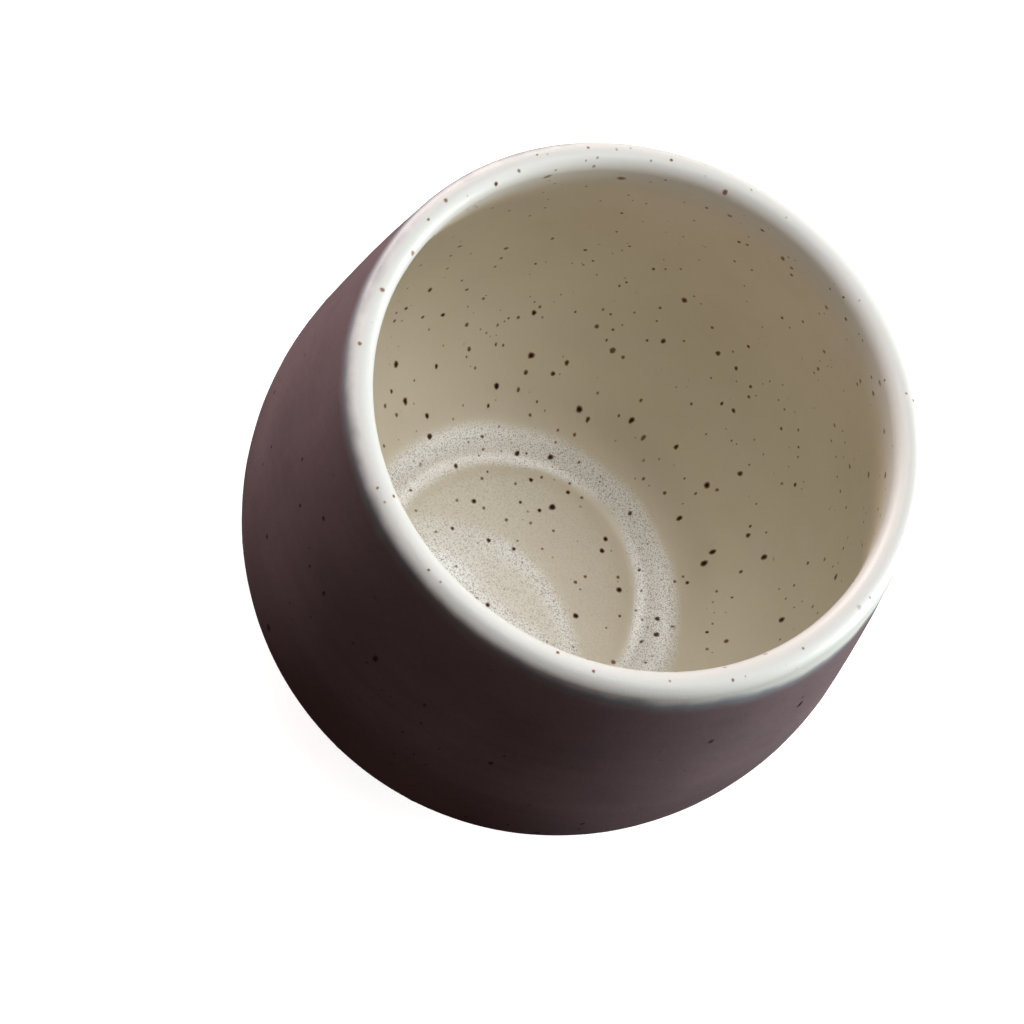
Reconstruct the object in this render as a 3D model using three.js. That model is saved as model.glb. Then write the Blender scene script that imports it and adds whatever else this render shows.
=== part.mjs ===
// Wheel-thrown stoneware wine cup without a handle: one clay body with a turned foot ring,
// a cream liner glaze that wraps over the lip, and a mauve outer glaze.
// Millimetres, +Z up. The origin is on the cup's axis, in the plane that the foot stands on.

import * as THREE from 'three';

// ---- driving dimensions (mm) ----
const SEGMENTS = 48;            // facets round the axis
const HEIGHT = 82;              // foot plane to the top of the lip
const LIP_RADIUS = 40;          // outside of the lip, over the glaze
const LIP_ROUND = 2;            // section radius of the rounded lip, over the glaze
const COAT = 0.4;               // glaze thickness
const COAT_EDGE = 0.14;         // glaze thickness where a coat runs out
const FLOOR_Z = 10.5;           // top of the inside floor, over the glaze
const FOOT_RADIUS = 28.2;       // outside of the foot ring
const FOOT_LAND_OUT = 27.3;     // flat land that the cup stands on, outer edge
const FOOT_LAND_IN = 23.5;      // flat land, inner edge
const FOOT_RECESS_Z = 4.5;      // height of the turned recess inside the foot ring
const GLAZE_LINE_Z = 78.6;      // where the cream coat meets the mauve coat outside, on average
const FOOT_LINE_Z = 4.9;        // where the mauve coat stops above the foot

// Outside of the wall over the glaze, from just under the lip to the foot: [z, r]
const OUTER = [
  [HEIGHT - LIP_ROUND, LIP_RADIUS], [GLAZE_LINE_Z, 40.28], [72, 41.75], [62, 43.6], [52, 45.3],
  [46, 46.15], [41, 46.4], [36, 46.2], [30, 45.25], [24, 43.65], [18, 41.3], [12.5, 38.1],
  [8.2, 34.5], [FOOT_LINE_Z, 30.7],
];

// Inside of the wall and the floor over the glaze, from under the lip to the axis: [z, r]
const INNER = [
  [HEIGHT - LIP_ROUND, LIP_RADIUS - 2 * LIP_ROUND], [72, 37.5], [62, 39.5], [52, 41.1],
  [45, 41.65], [38, 41.4], [31, 40.1], [25, 37.8], [19.2, 34], [16.1, 31], [13.6, 27.6],
  [12, 24.3], [11, 21], [10.6, 18.5], [FLOOR_Z, 15.5], [FLOOR_Z, 8], [FLOOR_Z, 0],
];

// Bare clay at the foot, from the end of the mauve coat round to the axis: [z, r]
const FOOT = [
  [4.0, 29.0], [3.3, FOOT_RADIUS + 0.15], [0.9, FOOT_RADIUS], [0.25, 27.95], [0, FOOT_LAND_OUT],
  [0, FOOT_LAND_IN], [0.3, 22.9], [1.0, 22.6], [3.6, 22.1], [FOOT_RECESS_Z, 21.2],
  [FOOT_RECESS_Z, 0],
];

// ---- profile helpers ----
// Points are [r, z] pairs here, as the lathe takes them.
const swap = (list) => list.map(([z, r]) => [r, z]);

// The half-round lip, from the outside over the top to the inside.
function lipArc(steps) {
  const out = [];
  for (let i = 1; i < steps; i++) {
    const a = Math.PI * i / steps;
    out.push([LIP_RADIUS - LIP_ROUND + LIP_ROUND * Math.cos(a),
      HEIGHT - LIP_ROUND + LIP_ROUND * Math.sin(a)]);
  }
  return out;
}

// The finished surface in one run: up the outside from the foot line, over the lip, down the
// inside and in to the axis.
const outside = swap(OUTER).reverse();
const inside = swap(INNER);
const finished = [...outside, ...lipArc(8), ...inside];
const lineIndex = outside.findIndex(([, z]) => z === GLAZE_LINE_Z);

// Unit normal of the run at point i, pointing out of the clay.
function normalAt(run, i) {
  const a = run[Math.max(i - 1, 0)], b = run[Math.min(i + 1, run.length - 1)];
  if (run[i][0] === 0) return [0, 1];
  const dr = b[0] - a[0], dz = b[1] - a[1], l = Math.hypot(dr, dz);
  return [dz / l, -dr / l];
}

// The clay surface lies one coat below the finished surface, less where a coat runs out.
const clay = finished.map(([r, z], i) => {
  const edge = i === 0 || i === lineIndex;
  const t = edge ? COAT_EDGE : COAT;
  const [nr, nz] = normalAt(finished, i);
  return [r === 0 ? 0 : r - nr * t, z - nz * t];
});

// ---- solids ----
function lathe(points) {
  const geometry = new THREE.LatheGeometry(points.map(([r, z]) => new THREE.Vector2(r, z)), SEGMENTS);
  geometry.rotateX(Math.PI / 2);      // the lathe turns about Y; the cup's axis is Z
  return geometry;
}

function piece(name, points, color, roughness) {
  const material = new THREE.MeshStandardMaterial({ color, roughness, metalness: 0 });
  const mesh = new THREE.Mesh(lathe(points), material);
  mesh.name = name;
  return mesh;
}

// The clay body: foot and recess first, from the axis out, then up the outside, over the lip and
// down the inside to the axis.
const bodyRun = [...swap(FOOT).reverse(), ...clay];

// The cream coat: from the axis along the clay, over the lip to the glaze line, then back along
// the finished surface to the axis.
const linerRun = [...clay.slice(lineIndex).reverse(), ...finished.slice(lineIndex)];

// The mauve coat: up the clay from the foot line to the glaze line, back down the finished face.
const coatClay = clay.slice(0, lineIndex + 1);
const coatFace = finished.slice(0, lineIndex + 1);
const outerRun = [...coatFace, ...coatClay.reverse(), coatFace[0]];

const cup = new THREE.Group();
cup.add(piece('stoneware_body', bodyRun, 0xb79a78, 0.85));
cup.add(piece('liner_glaze', linerRun, 0xe9e7dd, 0.35));
cup.add(piece('outer_glaze', outerRun, 0x6d5c66, 0.45));

export default cup;
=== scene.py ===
# Looks of a wheel-thrown stoneware wine cup: the bare clay body, the cream liner glaze that
# wraps over the lip, and the mauve outer glaze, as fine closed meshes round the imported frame.
# Lengths in the mesh code are millimetres; every object is placed in metres.

import math

import bpy
import numpy as np
from mathutils import Matrix, Vector
from mathutils.geometry import delaunay_2d_cdt


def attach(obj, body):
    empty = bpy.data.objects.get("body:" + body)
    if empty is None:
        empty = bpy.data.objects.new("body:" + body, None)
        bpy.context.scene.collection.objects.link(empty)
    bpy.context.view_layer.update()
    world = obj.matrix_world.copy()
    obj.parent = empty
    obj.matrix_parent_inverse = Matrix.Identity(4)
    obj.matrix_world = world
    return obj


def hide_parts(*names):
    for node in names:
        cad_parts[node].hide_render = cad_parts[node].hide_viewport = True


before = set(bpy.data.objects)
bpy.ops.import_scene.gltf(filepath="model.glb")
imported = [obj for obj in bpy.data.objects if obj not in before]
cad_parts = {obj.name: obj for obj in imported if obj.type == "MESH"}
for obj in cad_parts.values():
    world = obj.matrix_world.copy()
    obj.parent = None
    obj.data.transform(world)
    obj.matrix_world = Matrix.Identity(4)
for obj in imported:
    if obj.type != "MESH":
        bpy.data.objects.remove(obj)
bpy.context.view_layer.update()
rng = np.random.default_rng(20)
TAU = 2 * math.pi

# ---------------------------------------------------------------- camera
# Fitted to the lip's outer and inner edge, the belly's outline and the floor ring.
EYE = (0.0, -0.157575, 0.356182)
CAM_X = (0.79394064, 0.55241167, 0.25396773)
CAM_Y = (-0.60776357, 0.70955137, 0.35659543)
CAM_Z = (0.01678433, -0.43746793, 0.89907736)
camera = bpy.data.objects.new("camera", bpy.data.cameras.new("camera"))
bpy.context.scene.collection.objects.link(camera)
camera.data.lens = 84.375
camera.data.sensor_width = 36
camera.data.sensor_fit = "HORIZONTAL"
camera.data.clip_start = 0.01
camera.matrix_world = Matrix([
    [CAM_X[i], CAM_Y[i], CAM_Z[i], EYE[i]] for i in range(3)] + [[0, 0, 0, 1]])
bpy.context.scene.camera = camera

# ---------------------------------------------------------------- profile
LIP_RADIUS, LIP_ROUND, HEIGHT = 40.0, 2.0, 82.0
ARC_OUT, ARC_IN = 12.0, 190.6     # where the lip's round begins outside and ends inside, degrees
OUTER = [(72, 41.75), (62, 43.6), (52, 45.3), (46, 46.15), (41, 46.38), (36, 46.15), (30, 45.25),
         (24, 43.65), (18, 41.3), (12.5, 38.1), (8.2, 34.5), (4.9, 30.7)]      # z, r
INNER = [(72, 37.5), (62, 39.5), (52, 41.1), (45, 41.65), (38, 41.4), (31, 40.1), (25, 37.8),
         (19.2, 34.0), (16.1, 31.0), (13.6, 27.6), (12.0, 24.4), (10.86, 22.2), (10.52, 20.8),
         (10.5, 19.2), (10.5, 15.5), (10.5, 8.0), (10.5, 0.0)]                               # z, r


def clamped_spline(points, start, end, step=0.1):
    """A smooth curve through the points with given end directions, as dense points."""
    p = np.array(points, float)
    n = len(p)
    t = np.concatenate([[0], np.cumsum(np.hypot(*np.diff(p, axis=0).T))])
    h = np.diff(t)
    d = np.diff(p, axis=0) / h[:, None]
    a, b = np.zeros((n, n)), np.zeros((n, 2))
    a[0, 0], a[0, 1], b[0] = 2 * h[0], h[0], 6 * (d[0] - start)
    a[-1, -1], a[-1, -2], b[-1] = 2 * h[-1], h[-1], 6 * (end - d[-1])
    for i in range(1, n - 1):
        a[i, i - 1], a[i, i], a[i, i + 1] = h[i - 1], 2 * (h[i - 1] + h[i]), h[i]
        b[i] = 6 * (d[i] - d[i - 1])
    m = np.linalg.solve(a, b)
    q = np.linspace(0, t[-1], int(np.ceil(t[-1] / step)) + 1)
    i = np.clip(np.searchsorted(t, q, "right") - 1, 0, n - 2)
    u, v, w = (t[i + 1] - q)[:, None], (q - t[i])[:, None], h[i][:, None]
    return (m[i] * u ** 3 + m[i + 1] * v ** 3) / (6 * w) + (p[i] / w - m[i] * w / 6) * u \
        + (p[i + 1] / w - m[i + 1] * w / 6) * v


def lip_point(degrees):
    a = math.radians(degrees)
    return (LIP_RADIUS - LIP_ROUND + LIP_ROUND * math.cos(a),
            HEIGHT - LIP_ROUND + LIP_ROUND * math.sin(a))


def lip_way(degrees):
    """Direction of travel over the lip, from the inside to the outside."""
    a = math.radians(degrees)
    return np.array([math.sin(a), -math.cos(a)])


inner = clamped_spline([(r, z) for z, r in INNER][::-1] + [lip_point(ARC_IN)],
                       np.array([1.0, 0.0]), lip_way(ARC_IN))
lip = np.array([lip_point(a) for a in np.linspace(ARC_IN, ARC_OUT, 73)])
last = np.array([OUTER[-1][1] - OUTER[-2][1], OUTER[-1][0] - OUTER[-2][0]], float)
outer = clamped_spline([lip_point(ARC_OUT)] + [(r, z) for z, r in OUTER], lip_way(ARC_OUT),
                       last / np.hypot(*last))
RUN = np.concatenate([inner, lip[1:-1], outer])      # r, z from the floor's centre to the foot
RUN_S = np.concatenate([[0], np.cumsum(np.hypot(*np.diff(RUN, axis=0).T))])
mid_s = (RUN_S[1:] + RUN_S[:-1]) / 2
way = np.diff(RUN, axis=0)
way_angle = np.unwrap(np.arctan2(way[:, 1], way[:, 0]))
S_TOP = RUN_S[RUN[:, 1].argmax()]
S_END = RUN_S[-1]
S_DISC = 24.0                                        # the floor inside this is one flat disc


def section(s):
    """r, z and the outward normal's r and z at a distance s along the run."""
    a = np.interp(s, mid_s, way_angle)
    return (np.interp(s, RUN_S, RUN[:, 0]), np.interp(s, RUN_S, RUN[:, 1]), -np.sin(a), np.cos(a))


# ---------------------------------------------------------------- glaze lines
# How far down the outside the cream runs from the top of the lip, by azimuth.
LINE = [(10, 6.2), (25, 4.5), (40, 3.6), (70, 3.1), (100, 2.9), (130, 2.7), (160, 2), (180, 1.6), (193, 1.42),
        (209, 1.88), (225, 2.07), (239, 2.41), (252, 2.34), (265, 2.83), (277, 2.87), (290, 3.15),
        (303, 3.99), (318, 4.13), (334, 5.57), (352, 7.4)]


def cream_line(theta):
    """Distance s of the glaze line under the lip."""
    d = np.degrees(theta) % 360
    xs = [LINE[-1][0] - 360] + [x for x, _ in LINE] + [LINE[0][0] + 360]
    ys = [LINE[-1][1]] + [y for _, y in LINE] + [LINE[0][1]]
    knots = np.interp(np.arange(0, 360, 1.0), xs, ys)
    kernel = np.hanning(17)
    smooth = np.convolve(np.concatenate([knots[-8:], knots, knots[:8]]), kernel / kernel.sum(),
                         "valid")
    q = np.interp(d, np.arange(361), np.append(smooth, smooth[0]))
    t = np.radians(d)
    ripple = 0.09 * np.sin(9 * t + 0.6) + 0.06 * np.sin(16 * t + 2.0) + 0.03 * np.sin(27 * t + 4.1)
    lumps = 0.45 * np.exp(-((d - 308) / 3.2) ** 2) + 0.5 * np.exp(-((d - 345) / 3.0) ** 2) \
        + 0.4 * np.exp(-((d - 62) / 3.5) ** 2) + 0.35 * np.exp(-((d - 118) / 4) ** 2)
    return S_TOP + q + ripple * np.clip(q / 3, 0.4, 1.4) + lumps


def foot_line(theta):
    """Distance s where the mauve glaze stops above the foot."""
    t = np.asarray(theta)
    return S_END - 0.25 + 0.14 * np.sin(3 * t + 1) + 0.07 * np.sin(8 * t + 2) \
        + 0.04 * np.sin(17 * t)


# ---------------------------------------------------------------- relief
def ease(x, a, b):
    t = np.clip((x - a) / (b - a), 0, 1)
    return t * t * (3 - 2 * t)


def relief(theta, s, coat):
    """How far the thrown surface stands off the smooth run, in mm; never above it outside."""
    t = theta
    wall = ease(s, 30, 44) * (1 - ease(s, 86, 97))
    lower = 1 - 0.85 * ease(s, 52, 76)
    h = wall * (-0.035 + lower * (0.018 * np.sin(TAU * s / 6.3 + t)
                                  + 0.007 * np.sin(TAU * s / 2.9 + 2 * t))
                + 0.03 * np.sin(TAU * s / 31 + 2 * t + 1))
    floor = 1 - ease(s, 17, 22)
    h = h + floor * (-0.012 + 0.0035 * np.sin(TAU * s / 2.6 + 0.5 * np.sin(t)))
    turn = np.abs((np.degrees(t) - 150 + 180) % 360 - 180)
    groove = np.exp(-((s - 22.4 - 0.02 * (np.degrees(t) % 360 - 150)) / 0.55) ** 2) \
        * (1 - ease(turn, 14, 38))
    h = h - 0.03 * groove
    rim = ease(s, 93, 99) * (1 - ease(s, 108, 114))
    h = h + rim * (-0.05 + 0.03 * np.sin(2 * t + 0.8) + 0.02 * np.sin(5 * t + 2))
    skin = ease(s, 108, 115) * (1 - ease(s, 180, 185))
    low = 0.5 + 0.5 * ease(s, 118, 140)
    h = h + skin * (-0.075 + low * (0.010 * np.sin(TAU * s / 5.1 + t + 0.7 * np.sin(2 * t))
                                    + 0.004 * np.sin(TAU * s / 2.3 + 3 * t))
                    + 0.03 * np.sin(2 * t + TAU * s / 55))
    if coat:
        h = h + 0.05 * np.exp(-((s - cream_line(t) - 0.3) / 0.7) ** 2)
        d = np.clip((foot_line(t) - s) / 0.8, 0, 1)
        h = h - 0.36 * (1 - np.sqrt(np.clip(1 - (1 - d) ** 2, 0, 1)))
    return h


# ---------------------------------------------------------------- iron specks
# The specks that stand out on the real cup: azimuth in degrees, distance along the run from the
# floor's centre in mm, radius in mm, and how dark, 1 to 9. The rest are scattered by the seeded
# generator at the same density.
SPECKS = [
    (115, 6.2, 0.34, 8), (148, 7.8, 0.38, 8), (264.3, 4.9, 0.36, 9), (1.3, 20.8, 0.4, 6),
    (14, 12, 0.45, 9), (24.2, 22.6, 0.28, 5), (36.9, 22.2, 0.25, 6), (37.2, 18.5, 0.45, 9),
    (46, 22.3, 0.27, 8), (59.4, 17.3, 0.41, 9), (64.4, 18.8, 0.4, 9), (93.7, 19.6, 0.36, 8),
    (95.2, 21.1, 0.26, 6), (96.6, 15.8, 0.53, 9), (107.4, 23.5, 0.46, 9), (108, 19.8, 0.25, 7),
    (112.7, 18.7, 0.37, 8), (116.2, 14.4, 0.29, 7), (117.2, 22.9, 0.22, 7), (121, 22.6, 0.44, 9),
    (135.4, 23, 0.27, 5), (142, 13.2, 0.31, 5), (146.9, 14.7, 0.42, 8), (148.7, 21.2, 0.39, 8),
    (6.9, 25.4, 0.28, 6), (16.1, 34.4, 0.33, 4), (18.8, 25.4, 0.47, 9), (25.1, 25, 0.42, 9),
    (33.7, 34.6, 0.3, 4), (38, 29.7, 0.32, 7), (40.3, 29.1, 0.28, 4), (42.9, 32.9, 0.57, 8),
    (45.4, 34.7, 0.53, 8), (58.8, 31.2, 0.47, 8), (68, 31.1, 0.33, 6), (68.8, 24.6, 0.4, 7),
    (75.7, 29.7, 0.3, 5), (84.6, 34.4, 0.46, 6), (90.3, 35.4, 0.53, 8), (101.2, 31.6, 0.44, 7),
    (102.7, 28.4, 0.32, 6), (104.9, 32.5, 0.58, 8), (108.5, 28, 0.26, 5), (119, 29.1, 0.3, 5),
    (124.3, 32.9, 0.37, 6), (131, 33.3, 0.49, 9), (133.2, 30, 0.31, 7), (135.6, 25.1, 0.31, 7),
    (154, 30.5, 0.4, 8), (155.3, 27.2, 0.47, 9), (159.6, 34.5, 0.52, 8), (163.5, 33.1, 0.35, 5),
    (166, 35.7, 0.36, 5), (171.6, 30, 0.28, 5), (18.6, 37.5, 0.43, 6), (31.1, 37.4, 0.24, 6),
    (39.2, 44, 0.57, 8), (46.1, 41.6, 0.43, 7), (60.5, 39.1, 0.35, 5), (60.7, 44.3, 0.49, 7),
    (63, 37.9, 0.54, 8), (76.3, 37.3, 0.43, 7), (91.5, 39.1, 0.35, 5), (101.2, 44.1, 0.38, 5),
    (104.2, 44.4, 0.58, 6), (110.2, 47.6, 0.44, 6), (113.3, 39.2, 0.44, 7),
    (115.8, 36.7, 0.41, 7), (122.9, 39.1, 0.57, 8), (123.2, 36, 0.42, 7), (125.3, 47.4, 0.49, 8),
    (132.7, 40.7, 0.31, 5), (133.2, 44.5, 0.32, 4), (139.7, 40.2, 0.41, 6), (141, 45.1, 0.4, 6),
    (148.8, 38.3, 0.37, 8), (160.1, 41.8, 0.55, 8), (21.6, 57.4, 0.43, 4), (22, 48.5, 0.6, 8),
    (50.8, 54.7, 0.39, 7), (52.9, 51.7, 0.35, 4), (62.7, 57.3, 0.37, 5), (73.1, 50.2, 0.41, 7),
    (74.1, 56.8, 0.37, 6), (79.1, 57.1, 0.41, 7), (84.2, 56.6, 0.51, 7), (95.4, 51.1, 0.5, 7),
    (98.5, 49.4, 0.28, 6), (100.1, 57.4, 0.33, 5), (106.5, 48.2, 0.31, 5),
    (116.2, 49.2, 0.25, 6), (147.5, 48.4, 0.4, 8), (152.3, 56.2, 0.51, 7),
    (152.7, 49.4, 0.35, 6), (157.6, 53.5, 0.4, 7), (160.3, 51.6, 0.37, 5), (24.5, 65.3, 0.6, 7),
    (31.1, 60, 0.36, 5), (88.6, 60.6, 0.35, 5), (96.8, 62.4, 0.6, 7), (129.1, 68.4, 0.4, 5),
    (137.8, 64.9, 0.45, 6), (150.2, 69.8, 0.46, 5), (36.8, 83.8, 0.6, 5), (44, 74.4, 0.45, 5),
    (53.9, 73.3, 0.44, 4), (65, 77.5, 0.44, 5), (66, 83.2, 0.42, 5), (29.7, 94.8, 0.6, 5),
    (39.4, 95.6, 0.52, 3.6), (49, 94.5, 0.48, 5), (54.1, 91, 0.46, 4), (71.2, 93.6, 0.47, 4),
    (82.7, 93.7, 0.41, 4), (85.5, 94.1, 0.5, 5), (100.4, 95.7, 0.49, 3.6),
    (12.4, 104, 0.19, 2.9), (14.5, 104, 0.22, 2.9), (48.9, 98.5, 0.54, 3.6),
    (66.6, 102, 0.19, 2.9), (90.3, 102.5, 0.19, 2.9), (99.6, 103.2, 0.24, 2.9),
    (104.4, 101, 0.45, 5), (126.4, 96.8, 0.67, 5), (129.6, 103.2, 0.27, 2.9),
    (133.9, 101.9, 0.25, 3.6), (134.5, 100.6, 0.3, 3.6), (144.6, 99, 0.67, 5),
    (152.1, 101.9, 0.31, 4.3), (170.2, 103.1, 0.37, 4.3), (184, 101.2, 0.44, 4.3),
    (195.5, 102.5, 0.39, 4.3), (321.1, 101.2, 0.34, 2.9), (330.7, 101, 0.38, 2.9),
]
RINGS = (0.55, 1.0, 1.38, 1.85)           # ring radii in speck radii
FADE = (1.0, 0.97, 0.60, 0.12, 0.0)       # how much iron shows at the centre and at each ring


class Speck:
    def __init__(self, theta, s, radius, tone):
        self.theta, self.s, self.radius, self.tone = theta, s, radius, tone
        r, z, nr, nz = section(s)
        c, k = math.cos(theta), math.sin(theta)
        self.at = np.array([r * c, r * k, z])
        self.across = np.array([-k, c, 0.0])
        self.along = np.array([nz * c, nz * k, -nr])      # the way that s grows
        self.r = float(r)
        # Iron runs a little down a wall as the glaze melts, and not on the floor or the lip.
        run = float(ease(s, 24, 34) * (1 - ease(s, 92, 97)) + ease(s, 106, 112))
        stretch = 1 + run * rng.uniform(0.15, 0.75) + rng.uniform(0, 0.18)
        self.a, self.b = radius / math.sqrt(stretch), radius * math.sqrt(stretch)
        self.lobes = rng.uniform(0, TAU, 3)
        self.rough = rng.uniform(0.3, 0.95)
        self.rise = 0.09 * min(radius / 0.4, 1.3) * (tone / 9) ** 2

    def edge(self, angle):
        p = self.lobes
        return 1 + self.rough * (0.11 * np.cos(2 * angle + p[0]) + 0.09 * np.cos(3 * angle + p[1])
                                 + 0.05 * np.cos(5 * angle + p[2]))


def in_photo(theta, s):
    """Whether the inside at this place shows through the mouth from the camera."""
    r, z, _, _ = section(s)
    x, y = r * math.cos(theta), r * math.sin(theta)
    e = [v * 1000 for v in EYE]
    k = (80 - z) / (e[2] - z)
    return s < 99 and math.hypot(x + (e[0] - x) * k, y + (e[1] - y) * k) < 36


def scatter(known, s_lo, s_hi, density, radii, tones, keep=lambda theta, s: True):
    """Adds specks at random, per square mm, clear of those already there."""
    grid = np.linspace(s_lo, s_hi, 400)
    weight = section(grid)[0]
    count = int(density * TAU * weight.mean() * (s_hi - s_lo))
    total = np.cumsum(weight)
    for _ in range(count):
        s = float(np.interp(rng.uniform(0, total[-1]), total, grid))
        theta, u, v = rng.uniform(0, TAU), rng.normal(), rng.normal()
        radius = float(np.clip(radii[0] * math.exp(radii[1] * u), radii[2], radii[3]))
        tone = float(np.clip(tones[0] + tones[1] * u + tones[2] * v, 1.5, 9))
        if not keep(theta, s):
            continue
        one = Speck(theta, s, radius, tone)
        if all(np.abs(one.at - o.at).sum() > 0.9 + 1.6 * (radius + o.radius) for o in known):
            known.append(one)


liner_specks = [Speck(math.radians(d), s, 0.80 * r, t) for d, s, r, t in SPECKS]
scatter(liner_specks, 2, 94, 0.034, (0.27, 0.42, 0.12, 0.55), (6.3, 1.6, 0.8),
        lambda theta, s: not in_photo(theta, s))
scatter(liner_specks, 2, 104, 0.042, (0.175, 0.25, 0.10, 0.27), (4.4, 0.8, 1.1))
outer_specks = []
scatter(outer_specks, S_TOP + 9, S_END - 2, 0.006, (0.33, 0.35, 0.18, 0.6), (4.7, 1.0, 0.8))
scatter(outer_specks, S_TOP + 9, S_END - 2, 0.008, (0.16, 0.25, 0.1, 0.24), (4.0, 0.5, 0.8))
# Two more that stand out, on the outer side of the lip.
liner_specks += [Speck(math.radians(342.8), 107.3, 0.52, 4.3),
                 Speck(math.radians(353.3), 103.5, 0.36, 2.4)]


def iron(base, s, specks):
    """Iron at each point, 0 to 1, and how far the molten specks stand up, in mm."""
    shade, rise = np.zeros(len(s)), np.zeros(len(s))
    order = np.argsort(s)
    ranked = s[order]
    for k in specks:
        reach = k.b * 2.6 + 0.1
        at = order[np.searchsorted(ranked, k.s - reach):np.searchsorted(ranked, k.s + reach)]
        off = base[at] - k.at
        near = np.abs(off).max(1) < reach
        at, off = at[near], off[near]
        u, v = off @ k.across / k.a, off @ k.along / k.b
        rho = np.hypot(u, v) / k.edge(np.arctan2(v, u))
        shade[at] = np.maximum(shade[at], k.tone / 9 * np.interp(rho, (0,) + RINGS, FADE))
        rise[at] += k.rise * np.exp(-(rho / 0.9) ** 2)
    return shade, rise


# ---------------------------------------------------------------- fine surface
COLUMNS = 360
COAT = 0.4                               # glaze thickness, mm
GAP = 0.02                               # clay stays this far behind the coats


def surface(theta, s, specks=(), coat=True, depth=0.0):
    """Points and normals of the thrown surface. With depth, the plain surface that far inside."""
    r, z, nr, nz = section(s)
    c, k = np.cos(theta), np.sin(theta)
    base = np.stack([r * c, r * k, z], 1)
    out = np.stack([nr * c, nr * k, nz], 1)
    if depth:
        return base - out * depth, out, np.zeros(len(s))
    step = 0.06
    turn = step / np.maximum(r, 4.0)

    def height(t, q):
        h = relief(t, q, coat)
        if len(specks):
            rq, zq, _, _ = section(q)
            h = h + iron(np.stack([rq * np.cos(t), rq * np.sin(t), zq], 1), q, specks)[1]
        return h
    h = height(theta, s)
    ds = (height(theta, s + step) - height(theta, s - step)) / (2 * step)
    du = (height(theta + turn, s) - height(theta - turn, s)) / (2 * step)
    du = du * (1 - np.exp(-(r / 3.0) ** 2))
    along = np.stack([nz * c, nz * k, -nr], 1)
    across = np.stack([-k, c, np.zeros(len(s))], 1)
    normal = out - along * ds[:, None] - across * du[:, None]
    normal /= np.linalg.norm(normal, axis=1)[:, None]
    shade = iron(base, s, specks)[0] if len(specks) else np.zeros(len(s))
    return base + out * h[:, None], normal, shade


def pool(points):
    """Where the liner's specular is raised and light is painted on: a ring of painted highlight in
    the floor's fillet, wider and further out on one side, and a weaker patch of painted
    highlight on the near side of the floor, with a faint painted sheen over the rest of the
    floor. It is below zero in a band of painted shade just outside the ring."""
    x, y, r = points[:, 0], points[:, 1], np.hypot(points[:, 0], points[:, 1])
    t = np.degrees(np.arctan2(y, x))

    def about(centre, width):
        return np.exp(-(((t - centre + 180) % 360 - 180) / width) ** 2)
    wave = 0.22 * np.sin(np.radians(5 * t) + 1) + 0.15 * np.sin(np.radians(11 * t))
    near = 21.3 + 0.75 * about(68, 32) - 1.4 * about(160, 45) + wave
    far = 26.5 + 1.8 * about(5, 38) - 0.5 * about(82, 25) + wave
    split = 0.40 * np.exp(-((r - 22.9) / 0.45) ** 2) * about(140, 32)
    ring = ease(r - near, -0.9, 0.8) * (1 - ease(r - far, -1.7, 1.5)) * (1 - split)
    ring = ring * (1 - 0.45 * (1 - ease(r, 21.6, 23.6)) * about(150, 42))
    edge = y - 6.5 + 0.026 * (x + 2) ** 2
    inside = 1 - ease(edge, -1.6, 1.0)
    rim = np.exp(-((edge + 1.9) / 1.5) ** 2) * ease(x, -9, -3)
    streak = np.exp(-((y + 2.9) / 1.3) ** 2 - ((x + 8.5) / 4) ** 2)
    # painted highlight on the near side of the floor: a whiter patch, rim and streak
    painted_highlight_patch = 0.27 * inside + 0.36 * rim + 0.50 * streak + 0.38 * ease(-y, 2.0, 5.0)
    # the ring's painted highlight, and a faint painted sheen over the rest of the floor
    level = np.maximum((0.90 + 0.08 * about(15, 45)) * ring,
                       (0.13 + 0.15 * ease(-x, -2, 12) + painted_highlight_patch) * (1 - ease(r, 17.5, 21.0)))
    # painted shade: a darker band just outside the ring on the far side, carried as values below zero
    painted_shade = np.exp(-((r - 30.6) / 2.8) ** 2) * about(80, 50)
    return np.where(points[:, 2] < 24, np.clip(level, 0, 1) - painted_shade, 0.0)


class Shell:
    """Collects the points and faces of one closed piece."""

    def __init__(self):
        self.points, self.normals, self.shade, self.line = [], [], [], []
        self.crest, self.pool = [], []
        self.faces, self.uvs, self.count = [], [], 0

    def add(self, points, normals, shade, line):
        self.points.append(points)
        self.normals.append(normals)
        self.shade.append(shade)
        self.line.append(line)
        # the lip's crest and upper wall, where the cream is painted cooler for the light on the lip and the
        # glaze is rougher
        self.crest.append(ease(points[:, 2], 71.0, 80.5))
        self.pool.append(pool(points))
        first = self.count
        self.count += len(points)
        return first + np.arange(len(points))

    def face(self, corners, uvs):
        self.faces.extend(corners)
        self.uvs.extend(uvs)


class Plan:
    """Where the parts of a piece lie on its map, in mm on a square sheet."""

    def __init__(self, sheet, sectors, start, disc, back):
        self.sheet, self.sectors, self.start, self.disc, self.back = \
            sheet, sectors, start, disc, back

    def wall(self, theta, s, middle):
        n = len(self.sectors)
        k = int((middle - self.start) / (TAU / n)) % n
        x, y, scale = self.sectors[k]
        begin = self.start + k * TAU / n + TAU * math.floor((middle - self.start) / TAU)
        return ((x + (theta - begin) * scale) / self.sheet, (y + s) / self.sheet)


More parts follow.
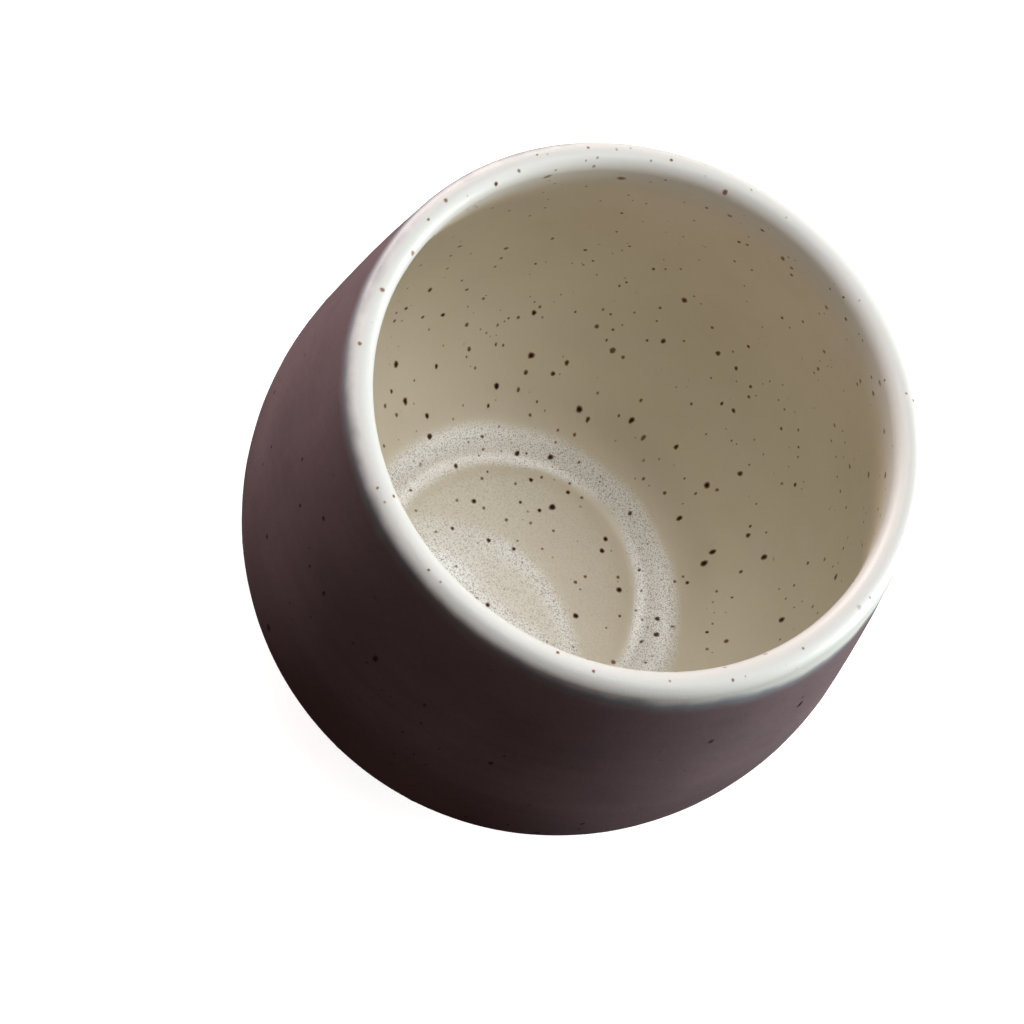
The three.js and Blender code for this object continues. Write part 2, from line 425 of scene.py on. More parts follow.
def spots(specks, to_sigma, width, s_lo, s_hi, lo, hi):
    """Ring points round each speck in the flat coordinates of a wall."""
    placed, cells = [], {}
    for k in specks:
        if not s_lo < k.s < s_hi:
            continue
        sides = 10 if k.radius > 0.22 else 8
        rings = RINGS if k.radius > 0.2 else RINGS[1:]
        ring_points = [(0.0, 0.0)]
        for i, ring in enumerate(rings):
            for j in range(sides):
                a = TAU * (j + 0.5 * (i % 2)) / sides
                e = ring * k.edge(a)
                ring_points.append((k.a * e * math.cos(a), k.b * e * math.sin(a)))
        for du, dv in ring_points:
            theta, s = k.theta + du / k.r, k.s + dv
            x = (theta - lo) % TAU * width
            y = float(to_sigma(theta, s))
            if not (0.14 < x < TAU * width - 0.14 and s_lo + 0.14 < y < hi - 0.14):
                continue
            cell = (int(x / 0.09), int(y / 0.09))
            if any(math.hypot(x - px, y - py) < 0.085
                   for i in (-1, 0, 1) for j in (-1, 0, 1)
                   for px, py in cells.get((cell[0] + i, cell[1] + j), ())):
                continue
            cells.setdefault(cell, []).append((x, y))
            placed.append((x, y))
    return np.array(placed).reshape(-1, 2)


def clear_of(theta, s, specks):
    """True for grid points that no speck's rings take the place of."""
    r, z, _, _ = section(s)
    base = np.stack([r * np.cos(theta), r * np.sin(theta), z], 1)
    keep = np.ones(len(s), bool)
    order = np.argsort(s)
    ranked = s[order]
    for k in specks:
        reach = k.b * 3 + 0.3
        at = order[np.searchsorted(ranked, k.s - reach):np.searchsorted(ranked, k.s + reach)]
        off = base[at] - k.at
        rho = np.hypot(off @ k.across / (k.a * 2.1 + 0.1), off @ k.along / (k.b * 2.1 + 0.1))
        keep[at[(rho < 1) & (np.abs(off).max(1) < reach)]] = False
    return keep


def wall(shell, plan, sigmas, to_s, to_sigma, specks, line_of, coat=True,
         start=math.radians(250)):
    """The finished face between two rows, as a clean grid with finer rings at the specks.
    Returns the vertex numbers of its first and last row."""
    width = 40.0
    columns = np.arange(COLUMNS + 1)
    x = columns / COLUMNS * TAU * width
    gx, gy = np.meshgrid(x, sigmas)
    gi, gj = np.meshgrid(columns, np.arange(len(sigmas)))
    gx, gy, gi, gj = gx.ravel(), gy.ravel(), gi.ravel(), gj.ravel()
    theta = start + gx / width
    s = to_s(theta, gy)
    edge = (gi == 0) | (gi == COLUMNS) | (gj == 0) | (gj == len(sigmas) - 1)
    keep = clear_of(theta, s, specks) | edge
    extra = spots(specks, to_sigma, width, sigmas[0], sigmas[-1], start, sigmas[-1])
    px = np.concatenate([gx[keep], extra[:, 0]])
    py = np.concatenate([gy[keep], extra[:, 1]])
    on_grid = int(keep.sum())
    gi, gj = gi[keep], gj[keep]
    tris = np.array(delaunay_2d_cdt([Vector(p) for p in zip(px.tolist(), py.tolist())],
                                    [], [], 0, 1e-9, False)[2])
    # One vertex for both ends of the seam.
    number = np.full(len(px), -1)
    fresh = np.ones(len(px), bool)
    fresh[:on_grid][gi == COLUMNS] = False
    theta = start + px / width
    s = to_s(theta, py)
    points, normals, shade = surface(theta[fresh], s[fresh], specks, coat)
    number[fresh] = shell.add(points, normals, shade, s[fresh] - line_of(theta[fresh]))
    grid = np.full((len(sigmas), COLUMNS + 1), -1)
    grid[gj, gi] = number[:on_grid]
    grid[:, COLUMNS] = grid[:, 0]
    number[:on_grid] = grid[gj, gi]
    # Pairs of triangles that fill a grid cell become one quad.
    flat = (tris < on_grid).all(1)
    ti, tj = gi[np.where(flat[:, None], tris, 0)], gj[np.where(flat[:, None], tris, 0)]
    small = flat & (np.ptp(ti, 1) == 1) & (np.ptp(tj, 1) == 1)
    cell = np.where(small, tj.min(1) * COLUMNS + ti.min(1), -1)
    values, counts = np.unique(cell[small], return_counts=True)
    whole = set(values[counts == 2].tolist())
    where = np.full(grid.shape, -1)
    where[gj, gi] = np.arange(on_grid)
    faces = []
    for c in sorted(whole):
        j, i = divmod(c, COLUMNS)
        faces.append([where[j, i], where[j, i + 1], where[j + 1, i + 1], where[j + 1, i]])
    for t, c in zip(tris.tolist(), cell.tolist()):
        if c not in whole:
            faces.append(t)
    corners, uvs = [], []
    for f in faces:
        xs, ys = px[f], py[f]
        area = sum(xs[i] * ys[(i + 1) % len(f)] - xs[(i + 1) % len(f)] * ys[i]
                   for i in range(len(f)))
        if abs(area) < 1e-7:
            continue
        if area > 0:              # s grows away from the floor, so the outside face is clockwise
            f = f[::-1]
        corners.append([int(number[i]) for i in f])
        middle = float(theta[f].mean())
        uvs.append([plan.wall(float(theta[i]), float(s[i]), middle) for i in f])
    shell.face(corners, uvs)
    return grid[0, :COLUMNS], grid[-1, :COLUMNS]


def band(shell, rows, uv):
    """Quads between rows of vertex numbers, in the order that the section is travelled."""
    corners, uvs = [], []
    for j in range(len(rows) - 1):
        a, b = rows[j], rows[j + 1]
        for k in range(COLUMNS):
            n = (k + 1) % COLUMNS
            corners.append([int(a[k]), int(b[k]), int(b[n]), int(a[n])])
            uvs.append([uv(j, k), uv(j + 1, k), uv(j + 1, k + 1), uv(j, k + 1)])
    shell.face(corners, uvs)


def disc(shell, ring, radius, start, spacing, specks, place, uv, down=False):
    """Closes a ring of vertices with a flat sheet of near-even triangles. place(x, y) adds the
    new points to the shell, with x and y measured along the surface from the axis."""
    k = np.arange(COLUMNS)
    bx, by = radius * np.cos(start + k * TAU / COLUMNS), radius * np.sin(start + k * TAU / COLUMNS)
    n = int(radius / spacing) + 2
    hx, hy = np.meshgrid(np.arange(-n, n + 1) * spacing,
                         np.arange(-n * 2, n * 2 + 1) * spacing * math.sqrt(3) / 2)
    hx = hx + (np.arange(len(hx)) % 2)[:, None] * spacing / 2
    hx, hy = hx.ravel(), hy.ravel()
    inside = np.hypot(hx, hy) < radius - 0.55 * spacing
    hx, hy = hx[inside], hy[inside]
    if len(specks):
        keep = clear_of(np.arctan2(hy, hx), np.hypot(hx, hy), specks)
        hx, hy = hx[keep], hy[keep]
    extra, cells = [], {}
    for one in specks:
        if one.s > radius:
            continue
        cx, cy = one.s * math.cos(one.theta), one.s * math.sin(one.theta)
        sides = 10 if one.radius > 0.22 else 8
        for i, ring_at in enumerate((0.0,) + (RINGS if one.radius > 0.2 else RINGS[1:])):
            for j in range(sides if i else 1):
                a = TAU * (j + 0.5 * (i % 2)) / sides
                e = ring_at * one.edge(a)
                du, dv = one.a * e * math.cos(a), one.b * e * math.sin(a)
                x = cx - du * math.sin(one.theta) + dv * math.cos(one.theta)
                y = cy + du * math.cos(one.theta) + dv * math.sin(one.theta)
                cell = (int(x // 0.09), int(y // 0.09))
                if math.hypot(x, y) > radius - 0.12 or any(
                        math.hypot(x - px, y - py) < 0.085
                        for p in (-1, 0, 1) for q in (-1, 0, 1)
                        for px, py in cells.get((cell[0] + p, cell[1] + q), ())):
                    continue
                cells.setdefault(cell, []).append((x, y))
                extra.append((x, y))
    extra = np.array(extra).reshape(-1, 2)
    nx, ny = np.concatenate([hx, extra[:, 0]]), np.concatenate([hy, extra[:, 1]])
    number = np.concatenate([ring, place(nx, ny)])
    px, py = np.concatenate([bx, nx]), np.concatenate([by, ny])
    tris = delaunay_2d_cdt([Vector(p) for p in zip(px.tolist(), py.tolist())],
                           [], [], 0, 1e-9, False)[2]
    corners, uvs = [], []
    for f in tris:
        f = list(f)
        (ax, ay), (bx_, by_), (cx_, cy_) = [(px[i], py[i]) for i in f]
        area = (bx_ - ax) * (cy_ - ay) - (cx_ - ax) * (by_ - ay)
        if abs(area) < 1e-7:
            continue
        if (area > 0) == down:
            f = f[::-1]
        corners.append([int(number[i]) for i in f])
        uvs.append([uv(float(px[i]), float(py[i])) for i in f])
    shell.face(corners, uvs)


def lay(shell, theta, s, depth, line_of):
    points, normals, shade = surface(theta, s, depth=depth)
    return shell.add(points, -normals if depth == COAT else normals, shade, s - line_of(theta))


def make_object(shell, name, node, material):
    me = bpy.data.meshes.new(name)
    me.from_pydata((np.concatenate(shell.points) * 0.001).tolist(), [], shell.faces)
    me.update()
    for key, values in (("iron", shell.shade), ("line", shell.line), ("crest", shell.crest),
                        ("pool", shell.pool)):
        me.attributes.new(key, "FLOAT", "POINT").data.foreach_set(
            "value", np.concatenate(values).astype(np.float32))
    layer = me.uv_layers.new(name="OFBake")
    layer.uv.foreach_set("vector", np.array([c for f in shell.uvs for c in f],
                                            np.float32).ravel())
    me.shade_smooth()
    me.normals_split_custom_set_from_vertices(np.concatenate(shell.normals).tolist())
    me.materials.append(material)
    ob = bpy.data.objects.new(name, me)
    bpy.context.scene.collection.objects.link(ob)
    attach(ob, "root")
    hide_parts(node)
    return ob


# ---------------------------------------------------------------- material helpers
class Nodes:
    """Short names for the nodes of one material."""

    def __init__(self, name):
        self.material = bpy.data.materials.new(name)
        self.material.use_nodes = True
        self.tree = self.material.node_tree
        self.shader = self.tree.nodes["Principled BSDF"]
        self.place = self.tree.nodes.new("ShaderNodeTexCoord").outputs["Object"]

    def put(self, socket, value):
        if isinstance(value, bpy.types.NodeSocket):
            self.tree.links.new(value, socket)
        elif value is not None:
            socket.default_value = value

    def set(self, name, value):
        self.put(self.shader.inputs[name], value)

    def math(self, kind, a, b=None, clamp=False):
        n = self.tree.nodes.new("ShaderNodeMath")
        n.operation, n.use_clamp = kind, clamp
        self.put(n.inputs[0], a)
        self.put(n.inputs[1], b)
        return n.outputs[0]

    def attribute(self, name):
        n = self.tree.nodes.new("ShaderNodeAttribute")
        n.attribute_name = name
        return n.outputs["Fac"]

    def scaled(self, scale, shift=(0, 0, 0)):
        n = self.tree.nodes.new("ShaderNodeMapping")
        self.put(n.inputs["Vector"], self.place)
        n.inputs["Scale"].default_value = scale
        n.inputs["Location"].default_value = shift
        return n.outputs[0]

    def noise(self, size, detail=2.0, rough=0.5, vector=None, distortion=0.0):
        """Noise with features about size mm across."""
        n = self.tree.nodes.new("ShaderNodeTexNoise")
        self.put(n.inputs["Vector"], vector or self.place)
        n.inputs["Scale"].default_value = 1000.0 / size
        n.inputs["Detail"].default_value = detail
        n.inputs["Roughness"].default_value = rough
        n.inputs["Distortion"].default_value = distortion
        return n.outputs["Fac"]

    def cells(self, size, output="Distance", vector=None):
        n = self.tree.nodes.new("ShaderNodeTexVoronoi")
        self.put(n.inputs["Vector"], vector or self.place)
        n.inputs["Scale"].default_value = 1000.0 / size
        return n.outputs["Distance"], n.outputs["Color"]

    def span(self, value, a, b, lo=0.0, hi=1.0, smooth=True):
        n = self.tree.nodes.new("ShaderNodeMapRange")
        n.interpolation_type = "SMOOTHSTEP" if smooth else "LINEAR"
        self.put(n.inputs["Value"], value)
        for key, v in (("From Min", a), ("From Max", b), ("To Min", lo), ("To Max", hi)):
            self.put(n.inputs[key], v)
        return n.outputs["Result"]

    def mix(self, factor, a, b, kind="MIX"):
        n = self.tree.nodes.new("ShaderNodeMix")
        n.data_type, n.blend_type = "RGBA", kind
        self.put(n.inputs["Factor"], factor)
        self.put(n.inputs[6], a if isinstance(a, bpy.types.NodeSocket) else (*a, 1))
        self.put(n.inputs[7], b if isinstance(b, bpy.types.NodeSocket) else (*b, 1))
        return n.outputs[2]

    def ramp(self, value, stops):
        n = self.tree.nodes.new("ShaderNodeValToRGB")
        self.put(n.inputs[0], value)
        e = n.color_ramp.elements
        while len(e) > 1:
            e.remove(e[-1])
        e[0].position, e[0].color = stops[0][0], (*stops[0][1], 1)
        for at, colour in stops[1:]:
            e.new(at).color = (*colour, 1)
        return n.outputs["Color"]

    def bump(self, height, distance, normal=None):
        """distance in mm for a height that goes from 0 to 1."""
        n = self.tree.nodes.new("ShaderNodeBump")
        n.inputs["Distance"].default_value = distance * 0.001
        self.put(n.inputs["Height"], height)
        self.put(n.inputs["Normal"], normal)
        return n.outputs["Normal"]


CREAM = (0.755, 0.691, 0.558)
# painted light: a cooler, greyer cream for the lip's crest, standing in for the cool light and bleached
# highlight on the lip
LIP_CREAM_PAINTED_LIGHT = (0.690, 0.692, 0.662)
FRINGE = (0.25, 0.265, 0.29)
MAUVE = (0.172, 0.119, 0.129)
BROWN = (0.235, 0.120, 0.056)
BLACK = (0.012, 0.006, 0.005)


def line_colours(n, cream, mauve):
    """The melt where cream and mauve meet: a soft blue-grey fringe, a millimetre or so wide."""
    wander = n.span(n.noise(4.5, 3), 0.25, 0.75, -0.4, 0.4, False)
    d = n.math("ADD", n.attribute("line"), wander)
    blue = n.span(d, -1.6, 0.3)
    dark = n.span(d, -0.5, 2.7)
    return n.mix(dark, n.mix(blue, cream, FRINGE), mauve)


def tiny_specks(n, size, share, strength, seed):
    """Pin-point iron specks: a share of the cells of a fine pattern holds one."""
    place = n.scaled((1, 1, 1), seed)
    distance, colour = n.cells(size, vector=place)
    pick = n.tree.nodes.new("ShaderNodeSeparateColor")
    n.put(pick.inputs[0], colour)
    chosen = n.math("LESS_THAN", pick.outputs[0], share)
    reach = n.span(pick.outputs[1], 0, 1, 0.06, 0.17, False)
    dot = n.span(distance, 0.0, reach, 1.0, 0.0)
    return n.math("MULTIPLY", n.math("MULTIPLY", dot, chosen),
                  n.span(pick.outputs[2], 0, 1, 0.25 * strength, strength, False))


def iron_over(n, ground, extra, brown=BROWN, black=BLACK):
    amount = n.math("MAXIMUM", n.attribute("iron"), extra)
    wander = n.span(n.noise(0.22, 2), 0.3, 0.7, -0.07, 0.07, False)
    edge = n.math("ADD", amount, n.math("MULTIPLY", wander, n.span(amount, 0.05, 0.4)))
    return n.mix(n.span(edge, 0.58, 0.84), n.mix(n.span(edge, 0.03, 0.50), ground, brown), black)


def mauve_ground(n):
    broad = n.ramp(n.noise(19, 3, 0.55), [
        (0.32, tuple(v * 0.86 for v in MAUVE)), (0.52, MAUVE),
        (0.72, (MAUVE[0] * 1.13, MAUVE[1] * 1.11, MAUVE[2] * 1.14))])
    streak = n.noise(2.6, 4, 0.6, n.scaled((0.10, 0.10, 1.0)))
    fine = n.noise(0.7, 3, 0.6)
    c = n.mix(n.span(streak, 0.30, 0.70, 0, 0.10), broad, (0.225, 0.180, 0.205))
    return n.mix(n.span(fine, 0.30, 0.72, 0, 0.16), c, (0.085, 0.058, 0.066))


def cream_ground(n):
    broad = n.ramp(n.noise(16, 3, 0.5), [
        (0.30, tuple(v * w for v, w in zip(CREAM, (0.965, 0.955, 0.94)))), (0.5, CREAM),
        (0.72, tuple(min(v * 1.025, 1) for v in CREAM))])
    haze = n.noise(1.1, 4, 0.65)
    hazed = n.mix(n.span(haze, 0.50, 0.80, 0, 0.08), broad, (0.52, 0.43, 0.31))
    # painted shade: a darker cream where the attribute is below zero, just outside the floor ring
    painted_shade = n.mix(n.span(n.attribute("pool"), -1.0, 0.0, 0.40, 0.0), hazed, (0.60, 0.54, 0.42))
    # painted light: the lip's crest and upper wall shift to the cooler lip cream
    return n.mix(n.attribute("crest"), painted_shade, LIP_CREAM_PAINTED_LIGHT)


def painted_highlight_grain(n, grain, ground):
    """A painted highlight where the ring and floor patch lie: a bright white grain with greyer
    pits between, for the sparkle of light on the glaze there.
    """
    grains = n.ramp(grain, [(0.35, (0.36, 0.345, 0.31)), (0.44, (0.76, 0.74, 0.69)),
                            (0.52, (1.0, 1.0, 1.0))])
    return n.mix(n.attribute("pool"), ground, grains)


def glaze_skin(n, grain, grain_depth, swell_depth, rough_lo, rough_hi, pooled=1.0):
    """Roughness and the fine uneven skin of a satin glaze."""
    fine = n.noise(grain, 2.0, 0.55)
    swell = n.noise(3.2, 2, 0.5)
    normal = n.bump(swell, swell_depth)
    normal = n.bump(fine, grain_depth, normal)
    n.set("Normal", normal)
    dull = n.noise(1.6, 3, 0.6)
    iron_amount = n.attribute("iron")
    rough = n.span(n.attribute("crest"), 0.02, 0.32, n.span(dull, 0.3, 0.7, rough_lo, rough_hi), 0.48)
    rough = n.span(n.attribute("pool"), 0.1, 0.6, rough, 0.44)
    n.set("Roughness", n.span(iron_amount, 0.3, 0.9, rough, 0.42))
    wet = n.span(n.attribute("pool"), 0.1, 0.8, 0.5, pooled)
    n.set("Specular IOR Level", n.span(iron_amount, 0.2, 0.7, wet, 0.10))


def liner_material():
    n = Nodes("cream_liner_glaze")
    tiny = tiny_specks(n, 1.5, 0.16, 0.75, (0.3, 0.1, 0.7))
    grain = n.noise(0.20, 1.0, 0.6)
    ground = painted_highlight_grain(n, grain, line_colours(n, cream_ground(n), mauve_ground(n)))
    n.set("Base Color", iron_over(n, ground, tiny))
    glaze_skin(n, 0.36, 0.022, 0.014, 0.29, 0.35, n.span(grain, 0.38, 0.60, 0.40, 1.0))
    dense = n.span(n.attribute("pool"), 0.88, 0.98, 0.0, 0.7)
    n.set("IOR", n.math("ADD", n.span(n.attribute("pool"), 0.1, 0.8, 1.66, 2.20), dense))
    return n.material


def outer_material():
    n = Nodes("mauve_outer_glaze")
    tiny = tiny_specks(n, 2.4, 0.22, 0.6, (0.9, 0.4, 0.2))
    ground = line_colours(n, cream_ground(n), mauve_ground(n))
    n.set("Base Color", iron_over(n, ground, tiny, (0.060, 0.034, 0.030), (0.022, 0.014, 0.014)))
    glaze_skin(n, 0.30, 0.012, 0.013, 0.42, 0.50)
    return n.material


def clay_material():
    n = Nodes("bare_stoneware")
    broad = n.ramp(n.noise(9, 4, 0.6), [(0.28, (0.34, 0.235, 0.150)), (0.5, (0.43, 0.315, 0.215)),
                                        (0.75, (0.49, 0.375, 0.265))])
    grit = n.noise(0.35, 3, 0.6)
    sandy = n.mix(n.span(grit, 0.35, 0.7, 0, 0.35), broad, (0.26, 0.175, 0.11))
    toasted = n.mix(n.span(n.attribute("line"), 0.0, 1.8, 0.75, 0.0), sandy, (0.20, 0.105, 0.055))
    tiny = tiny_specks(n, 1.3, 0.22, 0.95, (0.2, 0.8, 0.5))
    n.set("Base Color", iron_over(n, toasted, tiny))
    normal = n.bump(n.noise(1.2, 3, 0.6), 0.05)
    n.set("Normal", n.bump(grit, 0.045, normal))
    n.set("Roughness", n.span(grit, 0.3, 0.7, 0.80, 0.93))
    return n.material


# ---------------------------------------------------------------- liner glaze
START = math.radians(250)
COLUMN = START + np.arange(COLUMNS) * TAU / COLUMNS
Q_MEAN = 4.0


def liner_s(theta, sigma):
    q = cream_line(theta) - S_TOP
    return np.where(sigma <= S_TOP, sigma, S_TOP + (sigma - S_TOP) * q / Q_MEAN)


def liner_sigma(theta, s):
    q = cream_line(theta) - S_TOP
    return np.where(s <= S_TOP, s, S_TOP + (s - S_TOP) * Q_MEAN / q)


def outer_s(theta, sigma):
    a, b = cream_line(theta), foot_line(theta)
    return a + (sigma - S_TOP - Q_MEAN) / (S_END - S_TOP - Q_MEAN) * (b - a)


def outer_sigma(theta, s):
    a, b = cream_line(theta), foot_line(theta)
    return S_TOP + Q_MEAN + (s - a) / (b - a) * (S_END - S_TOP - Q_MEAN)


def spaced(lo, hi, step):
    return np.linspace(lo, hi, int(math.ceil((hi - lo) / step)) + 1)


def joined(*parts):
    return np.concatenate([parts[0]] + [p[1:] for p in parts[1:]])


liner = Shell()
liner_plan = Plan(180.0, [(1, -23, 41), (91, -23, 41), (1, 67, 41)], START, None, None)
first, last_row = wall(
    liner, liner_plan,
    joined(spaced(S_DISC, 96.0, 0.80), spaced(96.0, S_TOP, 0.38),
           spaced(S_TOP, S_TOP + Q_MEAN, 0.20)),
    liner_s, liner_sigma, liner_specks, cream_line)


def place_floor(x, y):
    theta, s = np.arctan2(y, x), np.hypot(x, y)
    points, normals, shade = surface(theta, s, liner_specks)
    return liner.add(points, normals, shade, s - cream_line(theta))


disc(liner, first, S_DISC, START, 0.72, liner_specks, place_floor,
     lambda x, y: ((91 + 37 + x * 1.5) / 180, (91 + 37 + y * 1.5) / 180))
back_rows = [lay(liner, COLUMN, liner_s(COLUMN, np.full(COLUMNS, sigma)), COAT, cream_line)
             for sigma in joined(np.linspace(S_TOP + Q_MEAN, S_TOP, 6), np.linspace(S_TOP, 96, 10),
                                 np.linspace(96, S_DISC, 32))]
band(liner, [last_row] + back_rows,
     lambda j, k: ((92 + 85 * k / COLUMNS) / 180, (168 + 11 * j / 48) / 180))


def place_behind(x, y):
    return lay(liner, np.arctan2(y, x), np.hypot(x, y), COAT, cream_line)


disc(liner, back_rows[-1], S_DISC, START, 3.0, (), place_behind,
     lambda x, y: ((172.5 + x * 0.27) / 180, (98 + y * 0.27) / 180), down=True)
cup_liner = make_object(liner, "cup_liner_glaze", "liner_glaze", liner_material())

# ---------------------------------------------------------------- outer glaze
coat = Shell()
coat_plan = Plan(192.0, [(1, -103, 44), (97, -103, 44), (1, -8, 44)], START, None, None)
top_row, foot_row = wall(
    coat, coat_plan,
    joined(spaced(S_TOP + Q_MEAN, S_TOP + Q_MEAN + 5, 0.36), spaced(S_TOP + Q_MEAN + 5,
                                                                   S_END - 3, 0.72),
           spaced(S_END - 3, S_END - 0.9, 0.35), spaced(S_END - 0.9, S_END, 0.09)),
    outer_s, outer_sigma, outer_specks, cream_line)
back_rows = [lay(coat, COLUMN, outer_s(COLUMN, np.full(COLUMNS, sigma)), COAT, cream_line)
             for sigma in np.linspace(S_END, S_TOP + Q_MEAN, 36)]
band(coat, [foot_row] + back_rows + [top_row],
     lambda j, k: ((98 + 90 * k / COLUMNS) / 192, (98 + 90 * j / 37) / 192))
cup_coat = make_object(coat, "cup_outer_glaze", "outer_glaze", outer_material())

# ---------------------------------------------------------------- clay body
r_end, z_end, nr_end, nz_end = (float(v) for v in section(S_END))
DEEP = COAT + GAP
foot = np.array([(r_end - nr_end * DEEP, z_end - nz_end * DEEP), (29.3, 4.25), (28.45, 3.45),
                 (28.22, 2.6), (28.2, 0.95), (28.0, 0.3), (27.3, 0.0), (25.4, 0.0), (23.5, 0.0),
                 (22.85, 0.3), (22.55, 1.0), (22.1, 3.5), (21.5, 4.25), (20.5, 4.5), (18.0, 4.5),
                 (16.0, 4.5)])
for _ in range(3):                        # rounds the corners without leaving the outline
    a, b = foot[:-1], foot[1:]
    cut = np.empty((2 * len(a), 2))
    cut[0::2], cut[1::2] = a * 0.75 + b * 0.25, a * 0.25 + b * 0.75
    foot = np.concatenate([foot[:1], cut, foot[-1:]])
foot_s = np.concatenate([[0], np.cumsum(np.hypot(*np.diff(foot, axis=0).T))])
FOOT_LENGTH = foot_s[-1]
foot_mid = (foot_s[1:] + foot_s[:-1]) / 2
foot_way = np.unwrap(np.arctan2(*np.diff(foot, axis=0).T[::-1]))
RECESS = 16.0


def foot_points(theta, f):
    """Turned clay at a distance f along the foot from the glaze line to the axis."""
    inward = np.clip(f - FOOT_LENGTH, 0, None)
    q = np.minimum(f, FOOT_LENGTH)
    r = np.interp(q, foot_s, foot[:, 0]) - inward
    z = np.interp(q, foot_s, foot[:, 1])
    a = np.interp(q, foot_mid, foot_way)
    nr, nz = -np.sin(a), np.cos(a)
    sign = 1.0 if nz[np.argmax(f)] < 0 else -1.0
    nr, nz = nr * sign, nz * sign

    def marks(t, g):
        land = ease(z, 0.15, 0.9)
        return -land * (0.03 - 0.03 * np.sin(TAU * g / 1.7 + t)
                        - 0.008 * np.sin(TAU * g / 0.6 + 2 * t)) * ease(r, 0.5, 3)
    h = marks(theta, f)
    slope = (marks(theta, f + 0.05) - marks(theta, f - 0.05)) / 0.1
    c, k = np.cos(theta), np.sin(theta)
    points = np.stack([(r + nr * h) * c, (r + nr * h) * k, np.maximum(z + nz * h, 0.0)], 1)
    tr, tz = np.cos(a), np.sin(a)
    nr, nz = nr - tr * slope, nz - tz * slope
    normals = np.stack([nr * c, nr * k, nz], 1)
    return points, normals / np.linalg.norm(normals, axis=1)[:, None]


body = Shell()
under = joined(np.linspace(S_DISC, 96, 32), np.linspace(96, S_TOP + 4, 16),
               np.linspace(S_TOP + 4, S_END - 2.5, 38), np.linspace(S_END - 2.5, S_END, 9))
rows = [lay(body, COLUMN, np.full(COLUMNS, s), DEEP, foot_line) for s in under]
foot_rows = spaced(0, FOOT_LENGTH, 0.30)[1:]
for f in foot_rows:
    points, normals = foot_points(COLUMN, np.full(COLUMNS, f))
    rows.append(body.add(points, normals, np.zeros(COLUMNS),
                         S_END + f - foot_line(COLUMN)))
hidden = len(under) - 9
TOTAL = FOOT_LENGTH + RECESS


def body_uv(j, k):
    t = START + k * TAU / COLUMNS
    if j >= hidden:
        f = TOTAL - (foot_rows[j - len(under)] if j >= len(under) else under[j] - S_END)
        return (44 + f * math.cos(t)) / 104, (44 + f * math.sin(t)) / 104
    return (2 + 98 * k / COLUMNS) / 104, (91 + 11 * j / hidden) / 104


corners, uvs = [], []
for j in range(len(rows) - 1):
    on_map = j >= hidden
    for k in range(COLUMNS):
        n = (k + 1) % COLUMNS
        corners.append([int(rows[j][k]), int(rows[j + 1][k]), int(rows[j + 1][n]),
                        int(rows[j][n])])
        if on_map:
            uvs.append([body_uv(j, k), body_uv(j + 1, k), body_uv(j + 1, k + 1),
                        body_uv(j, k + 1)])
        else:
            u = [(2 + 98 * q / COLUMNS) / 104 for q in (k, k + 1)]
            v = [(91 + 11 * q / hidden) / 104 for q in (j, j + 1)]
            uvs.append([(u[0], v[0]), (u[0], v[1]), (u[1], v[1]), (u[1], v[0])])
body.face(corners, uvs)
disc(body, rows[0], S_DISC, START, 3.0, (),
     lambda x, y: lay(body, np.arctan2(y, x), np.hypot(x, y), DEEP, foot_line),
     lambda x, y: ((96.5 + x * 0.25) / 104, (7.5 + y * 0.25) / 104))


def place_recess(x, y):
    theta, r = np.arctan2(y, x), np.hypot(x, y)
    points, normals = foot_points(theta, TOTAL - r)
    return body.add(points, normals, np.zeros(len(x)), np.full(len(x), 30.0))


disc(body, rows[-1], RECESS, START, 0.8, (), place_recess,
     lambda x, y: ((44 + x) / 104, (44 + y) / 104), down=True)
cup_body = make_object(body, "cup_stoneware_body", "stoneware_body",
                       clay_material())


# ---------------------------------------------------------------- light and floor
def area_light(name, place, aim, size, size_y, power, colour=(1, 1, 1), disk=False):
    data = bpy.data.lights.new(name, "AREA")
    data.shape = "DISK" if disk else "RECTANGLE"
    data.size = size
    if not disk:
        data.size_y = size_y
    data.energy = power
    data.color = colour
    ob = bpy.data.objects.new(name, data)
    bpy.context.scene.collection.objects.link(ob)
    ob.location = place
    ob.rotation_euler = (Vector(aim) - Vector(place)).to_track_quat("-Z", "Y").to_euler()
    ob.visible_camera = False
    return ob


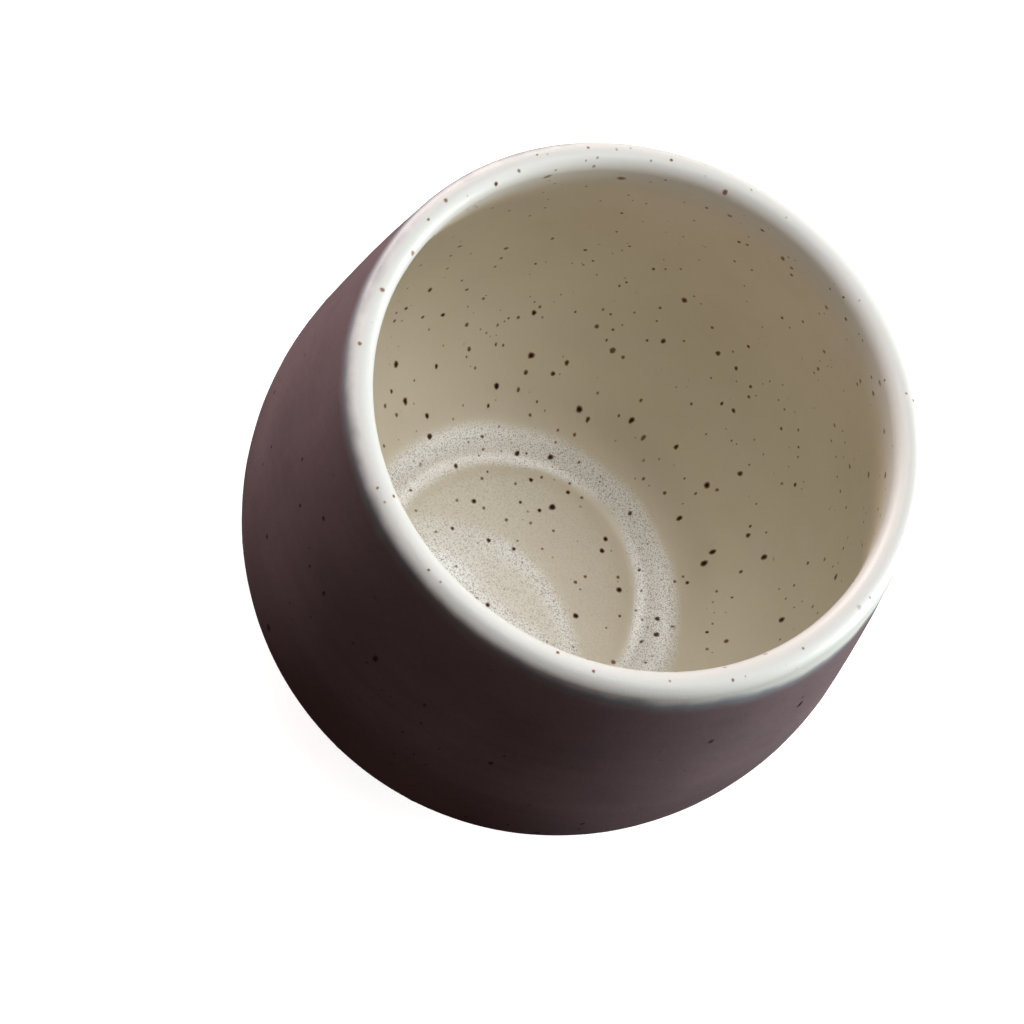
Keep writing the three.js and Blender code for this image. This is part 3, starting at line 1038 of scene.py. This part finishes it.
area_light("overhead", (-0.05, 0.12, 0.70), (0, 0, 0.05), 0.66, 0.66, 0.55, (1, 1, 1), True)
area_light("high_left", (-0.25, 0.12, 0.66), (0, 0, 0.05), 0.40, 0.40, 1.28, (1, 1, 1), True)
area_light("high_right", (0.25, 0.10, 0.66), (0, 0, 0.05), 0.40, 0.40, 1.92, (0.98, 1, 1), True)
area_light("side_left", (-0.70, 0.36, 0.14), (0, 0, 0.045), 0.5, 0.4, 8.9, (1.0, 0.86, 0.83))
area_light("side_right", (0.68, 0.42, 0.10), (0, 0, 0.045), 0.5, 0.4, 12.8, (0.94, 1.0, 0.99))
area_light("front_fill", (-0.1, -0.9, 0.35), (0, 0, 0.04), 0.7, 0.5, 0.90, (1.0, 0.74, 0.64))

bpy.ops.mesh.primitive_grid_add(x_subdivisions=2, y_subdivisions=2, size=8)
ground = bpy.context.object
ground.name = "floor"
n = Nodes("pale_floor")
n.set("Base Color", (0.86, 0.86, 0.86, 1))
n.set("Roughness", 0.9)
n.set("Specular IOR Level", 0.1)
n.set("Emission Color", (1, 1, 1, 1))
reach = n.tree.nodes.new("ShaderNodeVectorMath")
reach.operation = "LENGTH"
n.put(reach.inputs[0], n.place)
n.set("Emission Strength", n.span(reach.outputs["Value"], 0.08, 0.45, 0.76, 1.02))
ground.data.materials.append(n.material)
ground.visible_diffuse = False
ground.visible_glossy = False

world = bpy.data.worlds.new("studio")
bpy.context.scene.world = world
world.use_nodes = True
tree = world.node_tree
path = tree.nodes.new("ShaderNodeLightPath")
tint = tree.nodes.new("ShaderNodeMix")
tint.data_type = "RGBA"
tint.inputs[6].default_value = (0.012, 0.005, 0.004, 1)      # faint warm room light
tint.inputs[7].default_value = (1.05, 1.05, 1.05, 1)         # the white backdrop
tree.links.new(path.outputs["Is Camera Ray"], tint.inputs["Factor"])
tree.links.new(tint.outputs[2], tree.nodes["Background"].inputs["Color"])
bpy.context.scene.view_settings.view_transform = "Standard"
bpy.context.scene.view_settings.look = "None"
